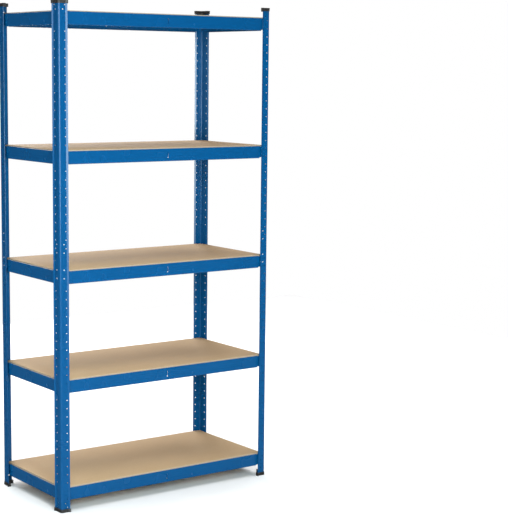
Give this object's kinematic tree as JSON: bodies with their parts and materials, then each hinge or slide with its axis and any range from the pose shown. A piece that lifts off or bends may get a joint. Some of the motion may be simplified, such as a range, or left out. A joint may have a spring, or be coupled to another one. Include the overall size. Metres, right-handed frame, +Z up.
{
  "type": "boltless shelving unit",
  "caption": "Free-standing boltless steel shelving: slotted angle posts, hook-in beams and loose fibreboard shelves on plastic feet.",
  "frame": {"origin": "centre of the footprint, on the floor", "axes": "+Z up, -Y towards the long front, +X to the right seen from the front"},
  "size_m": [0.912, 0.462, 1.8053],
  "materials": {
    "blue_paint": "powder coat, satin",
    "bright_zinc": "zinc plated, on the studs' faces only",
    "fibreboard": "raw medium-density fibreboard",
    "black_plastic": "moulded, matt"
  },
  "bodies": {
    "frame": {"lower_post_front_left": "blue_paint", "upper_post_front_left": "blue_paint", "post_coupler_front_left": "blue_paint", "foot_front_left": "black_plastic", "cap_front_left": "black_plastic", "lower_post_front_right": "blue_paint", "upper_post_front_right": "blue_paint", "post_coupler_front_right": "blue_paint", "foot_front_right": "black_plastic", "cap_front_right": "black_plastic", "lower_post_back_left": "blue_paint", "upper_post_back_left": "blue_paint", "post_coupler_back_left": "blue_paint", "foot_back_left": "black_plastic", "cap_back_left": "black_plastic", "lower_post_back_right": "blue_paint", "upper_post_back_right": "blue_paint", "post_coupler_back_right": "blue_paint", "foot_back_right": "black_plastic", "cap_back_right": "black_plastic", "tier_1_beam_front": "blue_paint", "tier_1_beam_back": "blue_paint", "tier_1_beam_left": "blue_paint", "tier_1_beam_right": "blue_paint", "tier_1_tie_bar": "blue_paint", "tier_2_beam_front": "blue_paint", "tier_2_beam_back": "blue_paint", "tier_2_beam_left": "blue_paint", "tier_2_beam_right": "blue_paint", "tier_2_tie_bar": "blue_paint", "tier_3_beam_front": "blue_paint", "tier_3_beam_back": "blue_paint", "tier_3_beam_left": "blue_paint", "tier_3_beam_right": "blue_paint", "tier_3_tie_bar": "blue_paint", "tier_4_beam_front": "blue_paint", "tier_4_beam_back": "blue_paint", "tier_4_beam_left": "blue_paint", "tier_4_beam_right": "blue_paint", "tier_4_tie_bar": "blue_paint", "tier_5_beam_front": "blue_paint", "tier_5_beam_back": "blue_paint", "tier_5_beam_left": "blue_paint", "tier_5_beam_right": "blue_paint", "tier_5_tie_bar": "blue_paint"},
    "board_1": {"tier_1_board": "fibreboard"},
    "board_2": {"tier_2_board": "fibreboard"},
    "board_3": {"tier_3_board": "fibreboard"},
    "board_4": {"tier_4_board": "fibreboard"},
    "board_5": {"tier_5_board": "fibreboard"}
  },
  "joints": [
    {"name": "board_1_lift", "type": "slide", "parent": "frame", "child": "board_1", "axis": [0, 0, 1], "range_m": [0, 0.3]},
    {"name": "board_2_lift", "type": "slide", "parent": "frame", "child": "board_2", "axis": [0, 0, 1], "range_m": [0, 0.3]},
    {"name": "board_3_lift", "type": "slide", "parent": "frame", "child": "board_3", "axis": [0, 0, 1], "range_m": [0, 0.33]},
    {"name": "board_4_lift", "type": "slide", "parent": "frame", "child": "board_4", "axis": [0, 0, 1], "range_m": [0, 0.39]},
    {"name": "board_5_lift", "type": "slide", "parent": "frame", "child": "board_5", "axis": [0, 0, 1], "range_m": [0, 0.3]}
  ]
}
